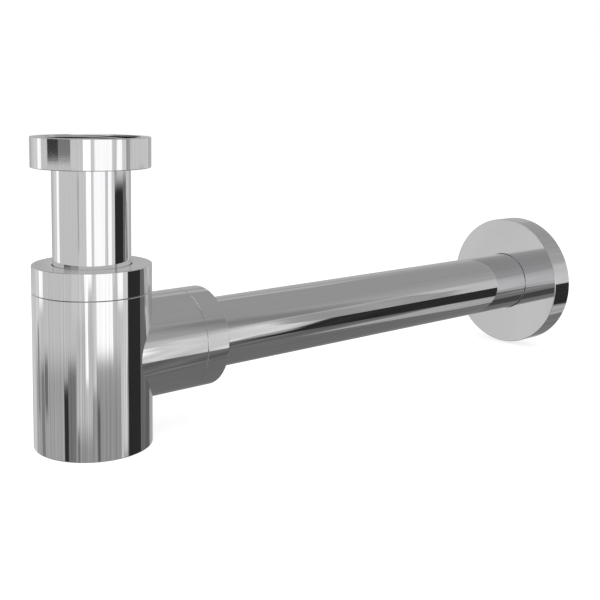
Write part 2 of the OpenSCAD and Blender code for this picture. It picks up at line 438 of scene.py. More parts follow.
def node_group(name: str, inputs: dict[str, tuple[str, object]], outputs: dict[str, str],
               draw: Callable[[Graph, bpy.types.Node, bpy.types.Node], None]) -> bpy.types.NodeTree:
    """Builds a shader node group once and returns it.

    Args:
        name: the group's name.
        inputs: each input's socket type and default value.
        outputs: each output's socket type.
        draw: draws the nodes between the group's input and output node.

    Returns:
        The group, which later calls find by its name.
    """
    tree = bpy.data.node_groups.get(name)
    if tree:
        return tree
    tree = bpy.data.node_groups.new(name, "ShaderNodeTree")
    for label, (kind, value) in inputs.items():
        socket = tree.interface.new_socket(label, in_out="INPUT", socket_type=kind)
        socket.default_value = value
    for label, kind in outputs.items():
        tree.interface.new_socket(label, in_out="OUTPUT", socket_type=kind)
    graph = Graph(tree)
    draw(graph, graph.add("NodeGroupInput"), graph.add("NodeGroupOutput"))
    return tree


FLOAT, VECTOR, COLOUR = "NodeSocketFloat", "NodeSocketVector", "NodeSocketColor"


def turning_lines() -> bpy.types.NodeTree:
    """Returns the group for the fine lines that turning and polishing leave across an axis."""

    def draw(graph: Graph, source: bpy.types.Node, sink: bpy.types.Node) -> None:
        """Draws lines of noise that change along the axis alone."""
        place = graph.add("ShaderNodeTexCoord").outputs["Object"]
        along = graph.add(
            "ShaderNodeVectorMath", {0: place, 1: source.outputs["Axis"]}, operation="DOT_PRODUCT"
        )
        fine = graph.math("MULTIPLY", along.outputs["Value"], source.outputs["Lines per metre"])
        noise = graph.add(
            "ShaderNodeTexNoise", {"W": fine, "Scale": 1.0, "Detail": 3.0, "Roughness": 0.62},
            noise_dimensions="1D",
        )
        wide = graph.math("MULTIPLY", fine, 0.07)
        bands = graph.add(
            "ShaderNodeTexNoise", {"W": wide, "Scale": 1.0, "Detail": 1.0}, noise_dimensions="1D"
        )
        height = graph.math("MULTIPLY", noise.outputs[0], source.outputs["Depth"])
        graph.tree.links.new(height, sink.inputs["Height"])
        graph.tree.links.new(bands.outputs[0], sink.inputs["Bands"])

    return node_group(
        "turning_lines",
        {"Axis": (VECTOR, (0, 0, 1)), "Lines per metre": (FLOAT, 4000.0), "Depth": (FLOAT, 1.0)},
        {"Height": FLOAT, "Bands": FLOAT}, draw,
    )


def hand_marks() -> bpy.types.NodeTree:
    """Returns the group for the faint patches that hands, cloths and dried drops leave."""

    def draw(graph: Graph, source: bpy.types.Node, sink: bpy.types.Node) -> None:
        """Draws soft patches broken up by a finer noise, and a few small round marks."""
        place = graph.add("ShaderNodeTexCoord").outputs["Object"]
        patches = graph.add(
            "ShaderNodeTexNoise", {"Vector": place, "Scale": source.outputs["Scale"], "Detail": 4.0}
        )
        fine_scale = graph.math("MULTIPLY", source.outputs["Scale"], 9.0)
        fine = graph.add("ShaderNodeTexNoise", {"Vector": place, "Scale": fine_scale, "Detail": 2.0})
        drop_scale = graph.math("MULTIPLY", source.outputs["Scale"], 5.0)
        drops = graph.add("ShaderNodeTexVoronoi", {"Vector": place, "Scale": drop_scale, "Randomness": 1.0})
        spots = graph.math("SUBTRACT", 1.0, graph.smooth(drops.outputs["Distance"], 0.05, 0.11))
        broad = graph.smooth(patches.outputs[0], 0.5, 0.72)
        broken = graph.math("MULTIPLY", broad, fine.outputs[0])
        both = graph.math("ADD", broken, graph.math("MULTIPLY", spots, 0.3))
        amount = graph.math("MULTIPLY", both, source.outputs["Amount"])
        graph.tree.links.new(amount, sink.inputs["Mask"])

    return node_group(
        "hand_marks", {"Scale": (FLOAT, 30.0), "Amount": (FLOAT, 1.0)}, {"Mask": FLOAT}, draw
    )


def moulded_skin() -> bpy.types.NodeTree:
    """Returns the group for the fine grain of a moulded surface and a slow change of tone that mixes in dust.
    """

    def draw(graph: Graph, source: bpy.types.Node, sink: bpy.types.Node) -> None:
        """Draws a grain of two sizes and a slower change of tone."""
        place = graph.add("ShaderNodeTexCoord").outputs["Object"]
        grain = graph.add(
            "ShaderNodeTexNoise", {"Vector": place, "Scale": source.outputs["Grain"], "Detail": 5.0}
        )
        cells = graph.add("ShaderNodeTexVoronoi", {"Vector": place, "Scale": source.outputs["Grain"]})
        height = graph.math("ADD", grain.outputs[0], graph.math("MULTIPLY", cells.outputs["Distance"], 0.4))
        tone = graph.add("ShaderNodeTexNoise", {"Vector": place, "Scale": 60.0, "Detail": 3.0})
        graph.tree.links.new(height, sink.inputs["Height"])
        graph.tree.links.new(graph.smooth(tone.outputs[0], 0.35, 0.7), sink.inputs["Tone"])

    return node_group("moulded_skin", {"Grain": (FLOAT, 1500.0)}, {"Height": FLOAT, "Tone": FLOAT}, draw)


@dataclass(frozen=True)
class Finish:
    """A finish of the trap, named for what it is, with the record's slot that it belongs to."""

    name: str
    slot: str
    colour: tuple[float, float, float]
    roughness: float

    def material(self) -> bpy.types.Material:
        """Returns the finish's material, built on first use."""
        found = bpy.data.materials.get(self.name)
        if found:
            return found
        made = bpy.data.materials.new(self.name)
        made.use_nodes = True
        made.node_tree.nodes.clear()
        graph = Graph(made.node_tree)
        shader = graph.add("ShaderNodeBsdfPrincipled")
        sink = graph.add("ShaderNodeOutputMaterial")
        graph.tree.links.new(shader.outputs[0], sink.inputs["Surface"])
        self.draw(graph, shader)
        return made

    def draw(self, graph: Graph, shader: bpy.types.Node) -> None:
        """Draws the finish's own nodes. Each kind of finish has its own."""
        raise NotImplementedError

    def tones(
        self, graph: Graph, mask: bpy.types.NodeSocket, other: tuple[float, float, float]
    ) -> bpy.types.NodeSocket:
        """Mixes the finish's colour with another one by a mask and returns the result."""
        mix = graph.add(
            "ShaderNodeMix", {"Factor": mask, "A": (*self.colour, 1), "B": (*other, 1)}, data_type="RGBA"
        )
        return mix.outputs["Result"]

    def dress(self, obj: bpy.types.Object) -> None:
        """Puts the finish on all of a piece or a CAD node."""
        obj.data.materials.clear()
        obj.data.materials.append(self.material())


@dataclass(frozen=True)
class Metal(Finish):
    """A turned metal: mirror chrome or bare brass, with lines across its axis."""

    axis: tuple[float, float, float] = (0.0, 0.0, 1.0)
    lines: float = 5000.0
    line_depth: float = 0.006
    marks: float = 0.05
    worn: tuple[float, float, float] = (0.74, 0.745, 0.75)

    def draw(self, graph: Graph, shader: bpy.types.Node) -> None:
        """Draws turning lines in the normal, and hand marks in colour and roughness."""
        lines = graph.add("ShaderNodeGroup", node_tree=turning_lines())
        lines.inputs["Axis"].default_value = self.axis
        lines.inputs["Lines per metre"].default_value = self.lines
        marks = graph.add("ShaderNodeGroup", node_tree=hand_marks())
        marks.inputs["Scale"].default_value = 26.0
        rough = graph.math("MULTIPLY_ADD", marks.outputs["Mask"], self.marks, self.roughness)
        rough = graph.math("MULTIPLY_ADD", lines.outputs["Bands"], self.roughness * 0.35, rough)
        graph.tree.links.new(rough, shader.inputs["Roughness"])
        graph.tree.links.new(self.tones(graph, marks.outputs["Mask"], self.worn), shader.inputs["Base Color"])
        bump = graph.add(
            "ShaderNodeBump",
            {"Strength": self.line_depth, "Distance": 0.0002, "Height": lines.outputs["Height"]},
        )
        graph.tree.links.new(bump.outputs[0], shader.inputs["Normal"])
        shader.inputs["Metallic"].default_value = 1.0


@dataclass(frozen=True)
class Moulded(Finish):
    """A moulded rubber or plastic, with a fine grain and paler dust."""

    grain: float = 1500.0
    grain_depth: float = 0.25
    dust: tuple[float, float, float] = (0.12, 0.12, 0.12)
    specular: float = 0.4

    def draw(self, graph: Graph, shader: bpy.types.Node) -> None:
        """Draws the grain in normal and roughness, and the dust in colour."""
        skin = graph.add("ShaderNodeGroup", node_tree=moulded_skin())
        skin.inputs["Grain"].default_value = self.grain
        graph.tree.links.new(self.tones(graph, skin.outputs["Tone"], self.dust), shader.inputs["Base Color"])
        rough = graph.math("MULTIPLY_ADD", skin.outputs["Tone"], 0.12, self.roughness)
        graph.tree.links.new(rough, shader.inputs["Roughness"])
        bump = graph.add(
            "ShaderNodeBump",
            {"Strength": self.grain_depth, "Distance": 0.0001, "Height": skin.outputs["Height"]},
        )
        graph.tree.links.new(bump.outputs[0], shader.inputs["Normal"])
        shader.inputs["Specular IOR Level"].default_value = self.specular


CHROME = (0.80, 0.80, 0.81)
BRASS = (0.72, 0.55, 0.28)
ALONG_WALL = (0.0, 1.0, 0.0)

CHROME_BODY = Metal("mirror_chrome_cast_body", "chrome_body", CHROME, 0.03)
CHROME_BRANCH = Metal("mirror_chrome_branch", "chrome_body", CHROME, 0.03, axis=ALONG_WALL)
CHROME_INLET = Metal("mirror_chrome_inlet_tube", "chrome_tube", CHROME, 0.025, line_depth=0.004)
CHROME_WALL = Metal("mirror_chrome_wall_tube", "chrome_tube", CHROME, 0.025, axis=ALONG_WALL,
                    line_depth=0.004)
CHROME_NUT = Metal("mirror_chrome_nut", "chrome_nut", CHROME, 0.03)
CHROME_OUTLET = Metal("mirror_chrome_outlet_nut", "chrome_nut", CHROME, 0.03, axis=ALONG_WALL)
CHROME_ROSETTE = Metal("mirror_chrome_rosette", "chrome_rosette", CHROME, 0.03, axis=ALONG_WALL)
BARE_BRASS = Metal("bare_turned_brass", "plain_brass", BRASS, 0.26, lines=2500.0, line_depth=0.3, marks=0.2,
                   worn=(0.58, 0.40, 0.20))
BRASS_WALL = Metal("bare_drawn_brass", "plain_brass", BRASS, 0.3, axis=ALONG_WALL, lines=1500.0,
                   line_depth=0.25, marks=0.25, worn=(0.55, 0.38, 0.20))
RUBBER = Moulded("black_moulded_rubber", "black_rubber", (0.05, 0.05, 0.05), 0.62)
WHITE_RING = Moulded("white_slip_ring_plastic", "white_plastic", (0.85, 0.85, 0.83), 0.42, grain=900.0,
                     grain_depth=0.1, dust=(0.80, 0.80, 0.77))
GREY_CUP = Moulded("grey_cup_plastic", "grey_plastic", (0.55, 0.56, 0.57), 0.45, grain=900.0,
                   grain_depth=0.1, dust=(0.50, 0.51, 0.52))


# Sub-assemblies of the trap


@dataclass
class SubAssembly:
    """A group of the trap's pieces. It builds them, dresses them and seats them on bodies."""

    made: list[str] = field(default_factory=list, init=False)

    def seat(self, obj: bpy.types.Object, finish: Finish, body: str, *nodes: str) -> bpy.types.Object:
        """Dresses a new piece, lets it ride on a body and hides the CAD nodes that it stands for.

        Args:
            obj: the new piece.
            finish: its main finish.
            body: the body that it rides on.
            nodes: the CAD nodes that it replaces.

        Returns:
            The same piece.
        """
        finish.dress(obj)
        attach(obj, body)
        if nodes:
            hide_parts(*nodes)
        self.report(obj.name, len(obj.data.polygons), finish)
        return obj

    def line(self, obj: bpy.types.Object, finish: Finish, where: Callable[[Vector, Vector], bool]) -> None:
        """Gives some of a piece's faces a second finish.

        Args:
            obj: the piece.
            finish: the second finish.
            where: says of a face's centre, in millimetres, and its normal whether it is one of them.
        """
        obj.data.materials.append(finish.material())
        number = len(obj.data.materials) - 1
        for face in obj.data.polygons:
            if where(face.center / MM, face.normal):
                face.material_index = number

    def keep(self, node: str, finish: Finish) -> None:
        """Dresses a CAD node whose shape is right as it is."""
        finish.dress(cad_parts[node])
        self.report(node, len(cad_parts[node].data.polygons), finish)

    def report(self, name: str, faces: int, finish: Finish) -> None:
        """Logs a finished piece."""
        self.made.append(name)
        log.info("%s: %s, %d faces, %s", type(self).__name__, name, faces, finish.name)


@dataclass
class CouplingJoint(SubAssembly):
    """The smooth coupling nut with its pipe thread, and the flat washer inside it."""

    outer: float = 24.3
    height: float = 12.5
    hole: float = 16.3
    crest: float = 19.475
    root: float = 20.955
    relief: float = 21.075
    relief_top: float = -6.7
    web: float = 2.0
    pitch: float = 2.309

    def build(self) -> None:
        """Builds the nut and its thread, and dresses the washer."""
        low = -self.height
        floor = low + self.web
        nut = Turning((
            Corner(self.hole, floor, 0.15), Corner(self.hole, low, 0.3), Corner(self.outer, low, 0.3),
            Corner(self.outer, 0, 0.3), Corner(self.root + 0.6, 0, 0.1), Corner(self.root, -0.6),
            Corner(self.root, self.relief_top - 0.2), Corner(self.relief, self.relief_top - 0.6),
            Corner(self.relief, floor, 0.3),
        )).piece("coupling_nut")
        self.seat(nut, CHROME_NUT, "coupling", "inlet_nut")
        thread = Thread(self.crest, self.root, self.pitch, self.relief_top - 0.3, -0.1, 0.8)
        self.seat(thread.build("coupling_thread", Way.UP, 0), CHROME_NUT, "coupling")
        self.keep("inlet_washer", RUBBER)


@dataclass
class InletPipe(SubAssembly):
    """The flanged tube that leads down from the coupling nut into the inner cup."""

    outer: float = 16.0
    bore: float = 15.0
    mouth: float = -112.0
    flange: float = 18.6
    flange_low: float = -10.4
    flange_top: float = -8.9

    def build(self) -> None:
        """Builds the tube, chromed outside and bare inside."""
        tube = Turning((
            Corner(self.bore, self.mouth, 0.1), Corner(self.outer, self.mouth, 0.3),
            Corner(self.outer, self.flange_low, 0.25), Corner(self.flange, self.flange_low, 0.3),
            Corner(self.flange, self.flange_top, 0.3), Corner(self.bore, self.flange_top, 0.6),
        )).piece("inlet_dip_tube")
        self.seat(tube, CHROME_INLET, "inlet_pipe", "inlet_tube")
        self.line(tube, BARE_BRASS, lambda at, normal: at.xy.length < self.bore + 0.2)


@dataclass
class CompressionJoint(SubAssembly):
    """A compression nut that is flush with its neck's shoulder, its thread, slip ring and coned seal."""

    place: str = "top"
    way: Way = Way.UP
    shoulder: float = -63.5
    outer: float = 24.5
    finish: Metal = CHROME_NUT
    height: float = 11.2
    web: float = 2.4
    hole: float = 16.3
    crest: float = 20.3
    root: float = 21.1
    pitch: float = 1.5
    gap: float = 0.1

    def build(self) -> None:
        """Builds the nut and its thread, and dresses the ring and the seal."""
        floor = self.height - self.web
        nut = Turning((
            Corner(self.root, self.gap, 0.15), Corner(self.outer, self.gap, 0.2),
            Corner(self.outer, self.height, 0.25), Corner(self.hole, self.height, 0.25),
            Corner(self.hole, floor, 0.1), Corner(self.root, floor, 0.3),
        ), self.way, self.shoulder).piece(f"{self.place}_compression_nut")
        self.seat(nut, self.finish, f"{self.place}_clamp", f"{self.place}_nut")
        thread = Thread(self.crest, self.root, self.pitch, self.gap + 0.2, floor - 1.6)
        ridge = thread.build(f"{self.place}_nut_thread", self.way, self.shoulder)
        self.seat(ridge, BARE_BRASS if self.way is Way.UP else BRASS_WALL, f"{self.place}_clamp")
        self.line(nut, BARE_BRASS if self.way is Way.UP else BRASS_WALL, self.is_inside)
        self.keep(f"{self.place}_slip_ring", WHITE_RING)
        self.keep(f"{self.place}_cone_seal", RUBBER)

    def is_inside(self, at: Vector, normal: Vector) -> bool:
        """Says whether a face of the nut lies inside its thread's bore."""
        local = self.way.place(self.shoulder).inverted() @ (at * MM) / MM
        return local.xy.length < self.root + 0.1 and local.z < self.height - self.web + 0.1


@dataclass
class TrapBody(SubAssembly):
    """The cast body: an open-footed cup with a side branch and two threaded necks."""

    outer: float = 24.5
    bore: float = 22.0
    foot: float = -128.5
    seam: float = -63.5
    roof: float = -66.5
    branch: float = 22.4
    branch_bore: float = 19.5
    reach: float = 43.0
    guide: float = 6.5
    neck_root: float = 19.2
    neck_crest: float = 20.0
    neck_height: float = 5.4
    throat: float = 16.5
    seat_mouth: float = 18.6
    seat_depth: float = 3.2
    foot_root: float = 22.9
    foot_thread_top: float = -123.2
    pitch: float = 1.5

    def build(self) -> None:
        """Builds the body from its outer and inner forms, then its three threads."""
        outside, branch, inside, throat, waterway = self.forms()
        body = outside.build("cast_body")
        combine(body, branch.build("branch_form"), "UNION")
        for number, form in enumerate((inside, throat, waterway)):
            combine(body, form.build(f"hollow_{number}"), "DIFFERENCE")
        true_shading(body, (outside, branch, inside, throat, waterway))
        self.seat(body, CHROME_BODY, "trap", "trap_body")
        self.line(body, CHROME_BRANCH, self.is_branch)
        self.line(body, BARE_BRASS, self.is_inside)
        necks = Thread(self.neck_crest, self.neck_root, self.pitch, 0.5, self.neck_height)
        self.seat(necks.build("top_neck_thread", Way.UP, self.seam), BARE_BRASS, "trap")
        self.seat(necks.build("outlet_neck_thread", Way.WALL, self.reach), BRASS_WALL, "trap")
        foot = Thread(self.bore, self.foot_root, self.pitch, self.foot + 0.5, self.foot_thread_top)
        self.seat(foot.build("foot_thread", Way.UP, 0), BARE_BRASS, "trap")

    def forms(self) -> tuple[Turning, ...]:
        """Returns the outside, the branch, the body's hollow, its throat and the branch's waterway."""
        neck_top = self.seam + self.neck_height
        seat_low = self.neck_height - self.seat_depth
        neck_end = self.reach + self.neck_height
        outside = Turning((
            Corner(0, self.foot), Corner(self.outer, self.foot, 0.3), Corner(self.outer, self.seam, 0.2),
            Corner(self.neck_root, self.seam), Corner(self.neck_root, neck_top, 0.1), Corner(0, neck_top),
        ), closed=False)
        branch = Turning((
            Corner(0, 6), Corner(self.branch, 6), Corner(self.branch, self.reach, 0.2),
            Corner(self.neck_root, self.reach), Corner(self.neck_root, neck_end, 0.1), Corner(0, neck_end),
        ), Way.WALL, closed=False)
        inside = Turning((
            Corner(0, self.foot - 1), Corner(self.foot_root + 0.4, self.foot - 1),
            Corner(self.foot_root + 0.4, self.foot + 0.1), Corner(self.foot_root, self.foot + 0.5),
            Corner(self.foot_root, self.foot_thread_top - 0.3), Corner(self.bore, self.foot_thread_top + 0.2),
            Corner(self.bore, self.roof, 1.0), Corner(0, self.roof),
        ), closed=False)
        throat = Turning((
            Corner(0, self.roof - 1), Corner(self.throat, self.roof - 1),
            Corner(self.throat, self.seam + seat_low),
            Corner(self.seat_mouth, neck_top), Corner(self.seat_mouth, neck_top + 1), Corner(0, neck_top + 1),
        ), closed=False)
        step = self.branch_bore - self.throat
        start = self.bore / 3
        waterway = Turning((
            Corner(0, start), Corner(self.branch_bore, start),
            Corner(self.branch_bore, self.reach - self.guide - step),
            Corner(self.throat, self.reach - self.guide), Corner(self.throat, self.reach + seat_low),
            Corner(self.seat_mouth, neck_end), Corner(self.seat_mouth, neck_end + 1), Corner(0, neck_end + 1),
        ), Way.WALL, closed=False)
        return outside, branch, inside, throat, waterway

    def is_branch(self, at: Vector, normal: Vector) -> bool:
        """Says whether a face lies on the outside of the branch."""
        beyond_skin = math.hypot(at.x, at.z - BRANCH_Z) > self.branch - 0.5
        return at.y > 9 and beyond_skin and at.xy.length > self.outer - 0.1

    def is_inside(self, at: Vector, normal: Vector) -> bool:
        """Says whether a face lies inside the body, in the branch or on a neck."""
        from_branch = math.hypot(at.x, at.z - BRANCH_Z)
        in_body = at.xy.length < self.foot_root + 0.5 and self.foot + 0.45 < at.z < self.roof + 0.1
        in_branch = at.y > 9 and from_branch < self.branch - 1
        on_neck = at.z > self.seam + 0.02 and at.xy.length < self.neck_root + 0.1
        return in_body or in_branch or on_neck


@dataclass
class FootPlug(SubAssembly):
    """The screwed foot plug with its coin slot and thread, its ring seal and the inner cup."""

    radius: float = 21.7
    root: float = 20.9
    face: float = -127.5
    top: float = -119.5
    groove_low: float = -123.0
    groove_high: float = -120.4
    groove: float = 19.7
    socket: float = 5.3
    socket_floor: float = -121.8
    slot_length: float = 26.0
    slot_width: float = 2.6
    slot_depth: float = 1.6
    pitch: float = 1.5

    def build(self) -> None:
        """Builds the plug and its thread, and dresses the ring seal and the cup."""
        form = Turning((
            Corner(0, self.face), Corner(self.radius, self.face, 0.4), Corner(self.radius, self.face + 0.9),
            Corner(self.root, self.face + 1.2), Corner(self.root, self.groove_low - 0.8),
            Corner(self.radius, self.groove_low - 0.5), Corner(self.radius, self.groove_low),
            Corner(self.groove, self.groove_low), Corner(self.groove, self.groove_high),
            Corner(self.radius, self.groove_high), Corner(self.radius, self.top, 0.3),
            Corner(self.socket, self.top, 0.2), Corner(self.socket, self.socket_floor),
            Corner(0, self.socket_floor),
        ), closed=False)
        plug = form.build("foot_plug")
        combine(plug, self.coin_slot(), "DIFFERENCE")
        true_shading(plug, [form])
        self.seat(plug, CHROME_NUT, "foot", "base_plug")
        self.line(plug, BARE_BRASS, lambda at, normal: at.z > self.face + 0.95)
        thread = Thread(self.radius, self.root, self.pitch, self.face + 1.0, self.groove_low - 0.6)
        self.seat(thread.build("foot_plug_thread", Way.UP, 0), BARE_BRASS, "foot")
        self.keep("base_o_ring", RUBBER)
        self.keep("seal_cup", GREY_CUP)

    def coin_slot(self) -> bpy.types.Object:
        """Returns the slot's tool: a bar whose four upright edges are rounded to half its width."""
        depth = self.slot_depth + 1
        bpy.ops.object.select_all(action="DESELECT")
        height = self.face + self.slot_depth - depth / 2
        bpy.ops.mesh.primitive_cube_add(size=1, location=(0, 0, height * MM))
        bar = bpy.context.object
        bar.name = "slot_tool"
        bar.scale = (self.slot_length * MM, self.slot_width * MM, depth * MM)
        bpy.ops.object.transform_apply(location=True, rotation=True, scale=True)
        bpy.ops.object.mode_set(mode="EDIT")
        bpy.ops.mesh.select_all(action="DESELECT")
        bpy.ops.object.mode_set(mode="OBJECT")
        for edge in bar.data.edges:
            a, b = (bar.data.vertices[v].co for v in edge.vertices)
            edge.select = abs(a.z - b.z) > depth * MM / 2
        bpy.ops.object.mode_set(mode="EDIT")
        bpy.ops.mesh.select_mode(type="EDGE")
        bpy.ops.mesh.bevel(offset=self.slot_width / 2 * MM * 0.999, segments=8, affect="EDGES")
        bpy.ops.object.mode_set(mode="OBJECT")
        return bar


@dataclass
class WallRun(SubAssembly):
    """The level tube to the wall, the rosette on it and the rosette's grip ring."""

    outer: float = 16.0
    bore: float = 15.0
    start: float = 28.5
    end: float = 288.5
    rosette: float = 36.75
    face: float = 275.3
    wall: float = 289.0
    sheet: float = 1.2
    hole: float = 16.3
    collar: float = 20.5
    collar_depth: float = 8.0
    groove: float = 18.1
    groove_width: float = 2.4
    face_gap: float = 0.12

    def build(self) -> None:
        """Builds the tube and the rosette, and dresses the grip ring."""
        tube = Turning((
            Corner(self.bore, self.start, 0.1), Corner(self.outer, self.start, 0.3),
            Corner(self.outer, self.end, 0.3), Corner(self.bore, self.end, 0.1),
        ), Way.WALL).piece("wall_waste_tube")
        self.seat(tube, CHROME_WALL, "wall_pipe", "wall_tube")
        self.line(tube, BRASS_WALL, lambda at, normal: math.hypot(at.x, at.z - BRANCH_Z) < self.outer - 0.25)
        back = self.face + self.sheet
        low = back + self.collar_depth / 2 - self.groove_width / 2
        high = low + self.groove_width
        collar_end = back + self.collar_depth
        disc = Turning((
            Corner(self.outer + self.face_gap, self.face, 0.35), Corner(self.rosette, self.face, 0.25),
            Corner(self.rosette, self.wall, 0.15), Corner(self.rosette - self.sheet, self.wall, 0.15),
            Corner(self.rosette - self.sheet, back, 0.6), Corner(self.collar, back, 0.4),
            Corner(self.collar, collar_end, 0.2), Corner(self.hole, collar_end, 0.2),
            Corner(self.hole, high), Corner(self.groove, high),
            Corner(self.groove, low), Corner(self.hole, low),
            Corner(self.hole, back), Corner(self.outer + self.face_gap, back - 0.3),
        ), Way.WALL).piece("wall_rosette_disc")
        self.seat(disc, CHROME_ROSETTE, "rosette", "wall_rosette")
        self.line(disc, BRASS_WALL, self.is_back)
        self.keep("rosette_grip_ring", RUBBER)

    def is_back(self, at: Vector, normal: Vector) -> bool:
        """Says whether a face of the rosette lies behind its face and inside its rim."""
        radius = math.hypot(at.x, at.z - BRANCH_Z)
        return at.y > self.face + 0.4 and radius < self.rosette - self.sheet + 0.3


# Studio: floor, lamps, room and camera


@dataclass(frozen=True)
class Panel:
    """A lit or dark patch of the studio as the chrome sees it.

    Directions are in degrees: azimuth from +Y towards +X, elevation above the horizon.
    """

    left: float
    right: float
    low: float
    high: float
    light: float
    soft: float = 1.5


# Light by elevation: dark floor, grey walls, grey ceiling, and a softbox overhead
ROOM_BANDS = (
    (-90, 0.17), (-45, 0.17), (-30, 0.22), (-19, 0.42), (-16.5, 0.40), (-14, 0.62), (0, 0.66),
    (12, 0.60), (20, 0.42), (40, 0.35), (63, 0.36), (71, 1.2), (90, 1.2),
)

BACKDROP = (
    Panel(-95, -20, -12, 22, 0.48, 4), Panel(-105, -80, -30, -10, 0.66, 4), Panel(237, 252, -14, 8, 0.75),
    Panel(-55, -35, 30, 38, 0.5, 2),
)
LOW_WALL = (
    Panel(60, 150, -60, -16.5, 0.34, 4), Panel(119, 150, -19.3, -12, 0.58, 2),
    Panel(57, 65, -30, -12, 0.66, 2), Panel(152, 167, -24, -15.5, 0.2, 1.5),
    Panel(167, 175, -30, -16.5, 0.03, 1), Panel(160, 182, -46, -30, 0.08, 3),
    Panel(106, 111, -30, -17.5, 0.12, 1.5), Panel(145, 149, -30, -19.2, 0.2, 1),
    Panel(213, 222, -18, -15, 0.17, 1.5), Panel(224, 234, -21, -15.5, 0.24, 1.5),
    Panel(240, 246, -18, -13, 0.25, 1),
)
WINDOWS = (
    Panel(59, 70, -12, 5, 1.2), Panel(80, 113, -15, 6, 1.2), Panel(76, 80, -11, 6, 0.74, 1),
    Panel(113, 119, -17, 6, 0.7, 1), Panel(119, 134, -11, 6, 1.3), Panel(127, 133, -16.5, -10, 1.2, 1),
    Panel(225, 237, -12, 6, 1.2),
)
FURNITURE = (
    Panel(134, 158, -13, -3, 0.68), Panel(155, 160, -9, -4.6, 0.45, 1), Panel(158, 182, -3.85, 10, 0.22, 0.2),
    Panel(182, 207, -3.85, 10, 0.05, 0.2),
)
DARK_FLAG = (
    Panel(-20, 0, -26, -14, 0.13), Panel(0, 16, -26, -4.6, 0.16), Panel(36, 60, -38, -20.5, 0.15, 2),
    Panel(14, 34, -39, -27, 0.44, 2), Panel(16, 48.5, -26, -5, 0.028, 1.2), Panel(41, 51, -5, 14, 0.38),
    Panel(50.5, 58, -20.5, 10, 0.75), Panel(43, 53, 16, 36, 0.27, 5), Panel(37, 41, -4, 15, 0.6, 1),
)
ROOM_PANELS = BACKDROP + LOW_WALL + WINDOWS + FURNITURE + DARK_FLAG


def studio_panel() -> bpy.types.NodeTree:
    """Returns the group that lays one soft-edged patch over the room's light."""

    def draw(graph: Graph, source: bpy.types.Node, sink: bpy.types.Node) -> None:
        """Draws a soft-edged window in azimuth, which wraps, and in elevation."""
        ask = source.outputs
        turned_by = graph.math("SUBTRACT", ask["Azimuth"], ask["Middle"])
        wrapped = graph.math("WRAP", turned_by, 180.0, -180.0)
        off = graph.math("SUBTRACT", graph.math("ABSOLUTE", wrapped), ask["Half width"])
        minus = graph.math("MULTIPLY", ask["Soft"], -0.5)
        plus = graph.math("MULTIPLY", ask["Soft"], 0.5)
        across = graph.math("SUBTRACT", 1.0, graph.smooth(off, minus, plus))
        above = graph.smooth(graph.math("SUBTRACT", ask["Elevation"], ask["Low"]), minus, plus)
        below = graph.smooth(graph.math("SUBTRACT", ask["High"], ask["Elevation"]), minus, plus)
        inside = graph.math("MULTIPLY", across, graph.math("MULTIPLY", above, below))
        rise = graph.math("SUBTRACT", ask["Light"], ask["Under"])
        graph.tree.links.new(graph.math("MULTIPLY_ADD", rise, inside, ask["Under"]), sink.inputs["Light"])

    names = ("Azimuth", "Elevation", "Under", "Middle", "Half width", "Low", "High", "Light", "Soft")
    return node_group("studio_panel", {name: (FLOAT, 0.0) for name in names}, {"Light": FLOAT}, draw)


